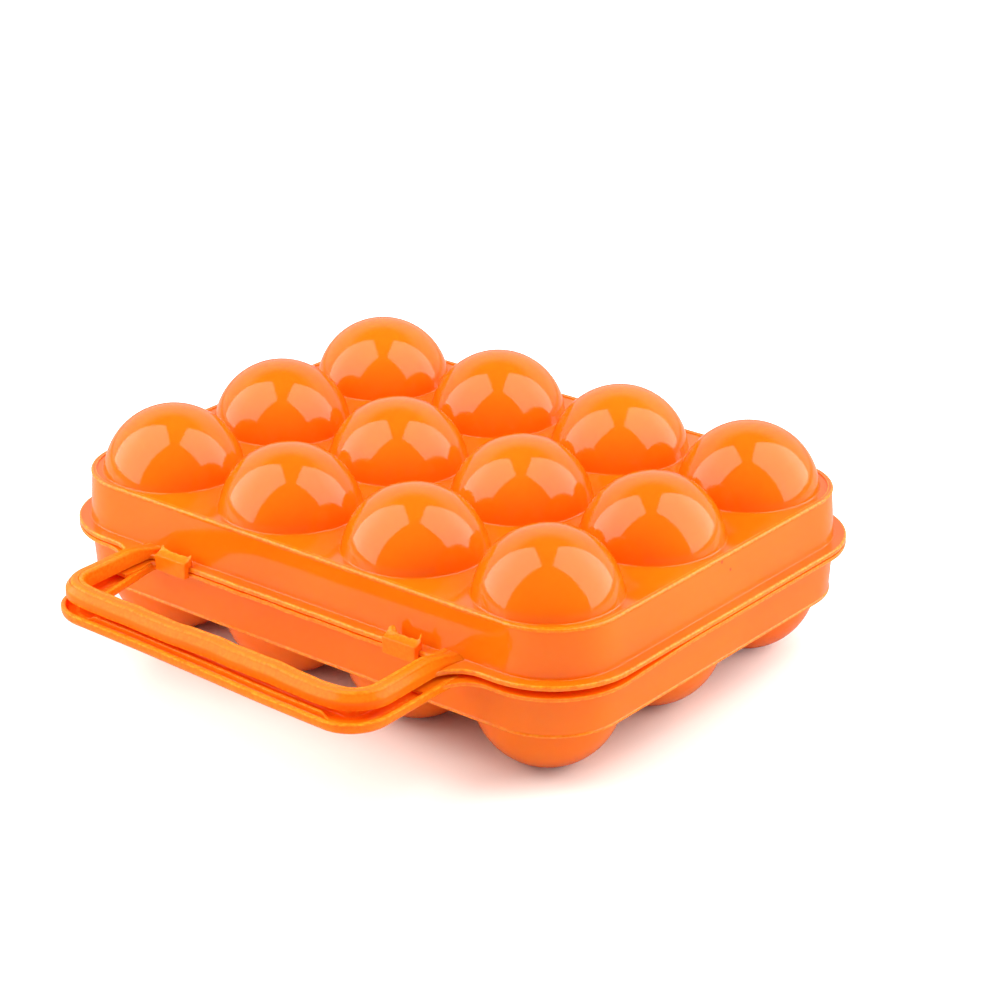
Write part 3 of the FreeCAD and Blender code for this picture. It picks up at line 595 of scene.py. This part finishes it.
def makeLoop(name, loop, body, node):
    middle, normal = loopPath(loop)
    section = loopSection(loop)
    onBar = middle[:, 1] < middle[:, 1].min() + 0.01
    rib = loop["rib"] * smoothStep(grip["ribEnd"], grip["ribFull"], np.abs(middle[:, 0])) * onBar
    spread = 1.0 + loop["spread"] * smoothStep(grip["spreadFrom"], grip["rootY"], middle[:, 1]) ** 2
    flat = middle[:, None] + section[None, :, :1] * normal[:, None] * spread[:, None, None]
    height = section[None, :, 1] - rib[:, None] * section[None, :, 3]
    points = bendLoop(np.concatenate([flat, height[..., None]], axis=-1), loop)
    points[..., 2] *= loop["sign"]
    sheet = gridSheet(closeEnds(points), closeColumns=True, flip=loop["sign"] < 0, edge=section[None, :, 2])
    makePiece(name, [sheet], body, node, gripPlastic)


makeLoop("lidHandle", lidLoop, "lid", "lid_handle")
makeLoop("trayHandle", trayLoop, "base", "base_handle")

# Latches: one rounded section carried across the hook's width. The front plate stands on the tray's
# flange, its top slopes up to a lip over the lid's flange, and ears of flash stand up at the ends of the
# lip. An ear is (place, spread, height) of a bump along the back edge
latch = {"width": 12.0, "front": -77.2, "back": -73.7, "plate": 2.0, "low": -1.6, "top": 3.4,
         "lipUnder": 1.75, "slope": 0.9, "round": 0.45, "columns": 61, "sharpAngle": 50.0,
         "endSteps": (0.0, 0.08, 0.3, 0.7), "endInsets": (0.42, 0.18, 0.04, 0.0),
         "hollow": 0.45, "uneven": 0.12, "seed": 5, "waves": ((3.1, 1.0), (1.3, 0.5))}
leftHook = {"centre": -43.5, "shift": -1.2, "ears": ((-0.95, 0.22, 1.0), (0.93, 0.1, 0.9))}
rightHook = {"centre": 43.5, "shift": -1.0,
             "ears": ((-0.72, 0.2, 1.9), (-0.98, 0.1, 0.5), (0.95, 0.1, 2.3))}


def latchSection():
    # Closed section, from the front plate's foot up over the top to the lip and back down behind the plate;
    # columns are y, height, share of the top's slope and share of the ears
    front, back, r = latch["front"], latch["back"], latch["round"]
    low, top, under = latch["low"], latch["top"], latch["lipUnder"]
    behind = front + latch["plate"]
    points = [(front + 0.15, low, 0.0, 0.0), (front, low + 0.2, 0.0, 0.0), (front, low + 0.6, 0.0, 0.0),
              (front, top - r - 0.4, 0.0, 0.0)]
    points += [(y, h, 0.1, 0.0) for y, h in arc(front + r, top - r, r, 180.0, 90.0, 6)]
    points += [(front + 1.2, top, 0.4, 0.0), (back - 1.1, top, 0.75, 0.0), (back - 0.6, top, 0.9, 0.35),
               (back - 0.25, top, 1.0, 1.0), (back - 0.05, top - 0.12, 1.0, 1.0),
               (back, top - 0.5, 1.0, 0.6), (back, under + 0.4, 0.6, 0.0),
               (back - 0.1, under + 0.1, 0.2, 0.0), (back - 0.4, under, 0.0, 0.0)]
    points += [(behind + 0.3, under, 0.0, 0.0), (behind + 0.1, under - 0.1, 0.0, 0.0),
               (behind, under - 0.4, 0.0, 0.0), (behind, low + 0.2, 0.0, 0.0),
               (behind - 0.15, low, 0.0, 0.0)]
    return np.array(points)


def drawIn(values, middle, inset):
    # Brings values nearer to the middle by the inset, but not past it
    return values - np.sign(values - middle) * np.minimum(inset, np.abs(values - middle))


def makeLatch(name, hook, body, node):
    section = latchSection()
    half, steps = latch["width"] / 2, np.array(latch["endSteps"])
    x = np.concatenate([-half + steps[:-1],
                        np.linspace(-half + steps[-1], half - steps[-1], latch["columns"]),
                        half - steps[-2::-1]])
    u = x / half
    rise = sum(height * np.exp(-((u - place) / spread) ** 2) for place, spread, height in hook["ears"])
    uneven = latch["uneven"] * ripple(x, latch["seed"], latch["waves"])
    hollow = latch["hollow"] * (1.0 - u ** 2) + uneven  # the lip is hollowed between its ears
    inset = np.interp(np.minimum(x + half, half - x), steps, latch["endInsets"])[:, None]
    y = section[None, :, 0] - hollow[:, None] * section[None, :, 3]
    h = section[None, :, 1] + latch["slope"] * section[None, :, 2] + rise[:, None] * section[None, :, 3]
    skin = (section[:, 1] > latch["top"] - 1.0) | (section[:, 1] < 0.0)  # the lip's underside stays level
    y = drawIn(y, 0.5 * (latch["front"] + latch["back"]), inset)
    h = np.where(skin, drawIn(h, 0.5 * (latch["low"] + latch["top"]), inset), h)
    flat = np.broadcast_to(x[:, None] + hook["centre"] + hook["shift"], y.shape)
    # The top's slope share is reused as the edge mask, so the top, most near the lip, is painted pale:
    # painted light on the lit top
    mask = np.clip(section[None, :, 2], 0.2, 1.0)
    sheet = gridSheet(closeEnds(np.stack([flat, y, h], axis=-1)), closeColumns=True, edge=mask)
    makePiece(name, [sheet], body, node, gripPlastic, latch["sharpAngle"])


makeLatch("latchLeft", leftHook, "latch_left", "latch_left")
makeLatch("latchRight", rightHook, "latch_right", "latch_right")

# Hinge bars and hooks keep their solids and take the plastic
for node in ("hinge_bar_left", "hinge_bar_right", "hinge_hook_left", "hinge_hook_right"):
    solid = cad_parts[node]
    if not solid.material_slots:
        solid.data.materials.append(hingePlastic)
    for slot in solid.material_slots:
        slot.link = "OBJECT"
        slot.material = hingePlastic
print("hinges dressed")

# Camera: fitted to the outlines of the domes, the flange and the rim
lens = {"azimuth": 39.408, "elevation": 23.245, "roll": -0.408, "distance": 916.886, "focal": 3072.118,
        "target": (0.0, 0.0, 35.0), "targetPixel": (459.356, 524.26), "frame": 981.0, "sensor": 36.0,
        "clipStart": 0.05}


def standUp(name, data, across, upright, back, spot):
    # Object at a spot in metres whose own axes point across, upright and back
    holder = bpy.data.objects.new(name, data)
    turn = Matrix((across, upright, back)).transposed()
    holder.matrix_world = Matrix.Translation(Vector(spot)) @ turn.to_4x4()
    bpy.context.scene.collection.objects.link(holder)
    return holder


def makeCamera():
    a, e, r = (math.radians(lens[name]) for name in ("azimuth", "elevation", "roll"))
    right = np.array([math.cos(a), math.sin(a), 0.0])
    back = np.array([math.sin(a) * math.cos(e), -math.cos(a) * math.cos(e), math.sin(e)])
    up = np.cross(back, right)
    across = right * math.cos(r) + up * math.sin(r)
    upright = -right * math.sin(r) + up * math.cos(r)
    middle = lens["frame"] / 2
    dx = (lens["targetPixel"][0] - middle) / lens["focal"]
    dy = -(lens["targetPixel"][1] - middle) / lens["focal"]
    eye = np.array(lens["target"]) + lens["distance"] * (back - across * dx - upright * dy)
    eye = (eye + np.array([0.0, field["middleY"], 0.0])) * field["metres"]
    camera = bpy.data.cameras.new("productCamera")
    camera.sensor_width = lens["sensor"]
    camera.lens = lens["focal"] * camera.sensor_width / lens["frame"]
    camera.clip_start = lens["clipStart"]
    bpy.context.scene.camera = standUp("productCamera", camera, across, upright, back, eye)
    return right, np.array([back[0], back[1], 0.0]) / math.hypot(back[0], back[1])


rightWay, towardCamera = makeCamera()
print("camera set")

# Studio, in metres: a pale floor, two leaning softboxes left and right of the camera, and a pale room
studio = {"boxDistance": 0.62, "boxForward": 0.03, "boxWidth": 0.64, "boxLength": 1.06, "boxFoot": 0.06,
          "boxPower": 7.9, "boxColour": (1.0, 0.98, 0.9), "lean": 0.42, "yaw": 13.0, "aimHeight": 0.05,
          "roomLevel": 0.5, "roomLow": 0.45, "roomRise": 0.85, "roomBand": (0.0, 0.9),
          "glossLevel": 0.08, "backdropWidth": (-0.15, 0.35), "backdropTop": (0.58, 0.84),
          "floorReach": 4.0, "floorLevel": 0.86, "floorGloss": 0.5, "floorGlow": 0.5,
          "glowNear": (0.07, 0.17), "glowFar": (0.35, 1.4)}


def makeSoftbox(name, side):
    # Panel beside the object that leans over it: it stands on the floor and its face looks at the object
    out = rightWay * side
    yaw = math.radians(studio["yaw"])
    along = towardCamera * math.cos(yaw) - out * math.sin(yaw)
    axis = np.array([0.0, 0.0, 1.0]) - out * studio["lean"]
    axis /= np.linalg.norm(axis)
    middle = out * studio["boxDistance"] + towardCamera * studio["boxForward"]
    middle = middle + axis * (studio["boxFoot"] + studio["boxLength"] / 2)
    middle = middle + np.array([0.0, field["middleY"] * field["metres"], 0.0])
    facing = np.cross(along, axis)
    facing /= np.linalg.norm(facing)
    facing *= np.sign(facing @ (np.array([0.0, 0.0, studio["aimHeight"]]) - middle))
    lamp = bpy.data.lights.new(name, "AREA")
    lamp.shape = "RECTANGLE"
    lamp.size = studio["boxWidth"]
    lamp.size_y = studio["boxLength"]
    lamp.energy = studio["boxPower"]
    lamp.color = studio["boxColour"]
    standUp(name, lamp, np.cross(axis, -facing), axis, -facing, middle)


def makeRoom():
    # White for the camera, dim for soft light; gloss sees a white backdrop low down behind the object
    world = bpy.data.worlds.new("studio")
    bpy.context.scene.world = world
    tree = Tree(world)
    seen = tree.add("ShaderNodeLightPath", output="Is Camera Ray")
    gloss = tree.add("ShaderNodeLightPath", output="Is Glossy Ray")
    way = tree.add("ShaderNodeTexCoord", output="Generated")
    x, y, z = (tree.add("ShaderNodeSeparateXYZ", {"Vector": way}, axis) for axis in "XYZ")
    behind = tree.band(x * -towardCamera[0] + y * -towardCamera[1], *studio["backdropWidth"])
    low = 1 - tree.band(z, *studio["backdropTop"])
    shiny = studio["glossLevel"] + (1 - studio["glossLevel"]) * behind * low
    high = tree.band(z, *studio["roomBand"])
    soft = studio["roomLevel"] * (studio["roomLow"] + studio["roomRise"] * high)
    level = seen + (1 - seen) * (gloss * shiny + (1 - gloss) * soft)
    light = tree.add("ShaderNodeBackground", {
        "Strength": 1.0, "Color": tree.mixColour(level, black, white)})
    tree.add("ShaderNodeOutputWorld", {"Surface": light})


def floorPaint():
    # Pale and matt; the camera sees it glow, more so far away, but not under the object, where it is shaded
    material = bpy.data.materials.new("paleFloor")
    tree = Tree(material)
    seen = tree.add("ShaderNodeLightPath", output="Is Camera Ray")
    gloss = tree.add("ShaderNodeLightPath", output="Is Glossy Ray")
    level = studio["floorLevel"] - (studio["floorLevel"] - studio["floorGloss"]) * gloss
    matt = tree.add("ShaderNodeBsdfDiffuse", {"Color": tree.mixColour(level, black, white)})
    place = tree.add("ShaderNodeTexCoord", output="Object")
    far = tree.add("ShaderNodeVectorMath", {0: place}, "Value", operation="LENGTH")
    nearGlow = tree.band(far, *studio["glowNear"]) * studio["floorGlow"]
    farGlow = (1 - studio["floorGlow"]) * tree.band(far, *studio["glowFar"])
    glow = tree.add("ShaderNodeEmission", {
        "Strength": 1.0, "Color": tree.mixColour(seen * (nearGlow + farGlow), black, white)})
    both = tree.add("ShaderNodeAddShader", {0: matt, 1: glow})
    tree.add("ShaderNodeOutputMaterial", {"Surface": both})
    return material


makeSoftbox("softboxLeft", -1.0)
makeSoftbox("softboxRight", 1.0)
makeRoom()
reach = np.linspace(-studio["floorReach"], studio["floorReach"], 3)
floorGrid = np.stack([*np.meshgrid(reach, reach, indexing="ij"), np.zeros((3, 3))], axis=-1)
floorPoints, floorQuads = gridSheet(floorGrid)[:2]
floorMesh = bpy.data.meshes.new("floor")
floorMesh.from_pydata(floorPoints.tolist(), [], floorQuads.tolist())
floorMesh.materials.append(floorPaint())
floor = bpy.data.objects.new("floor", floorMesh)
bpy.context.scene.collection.objects.link(floor)
bpy.context.scene.view_settings.view_transform = "Standard"
print("studio lit")
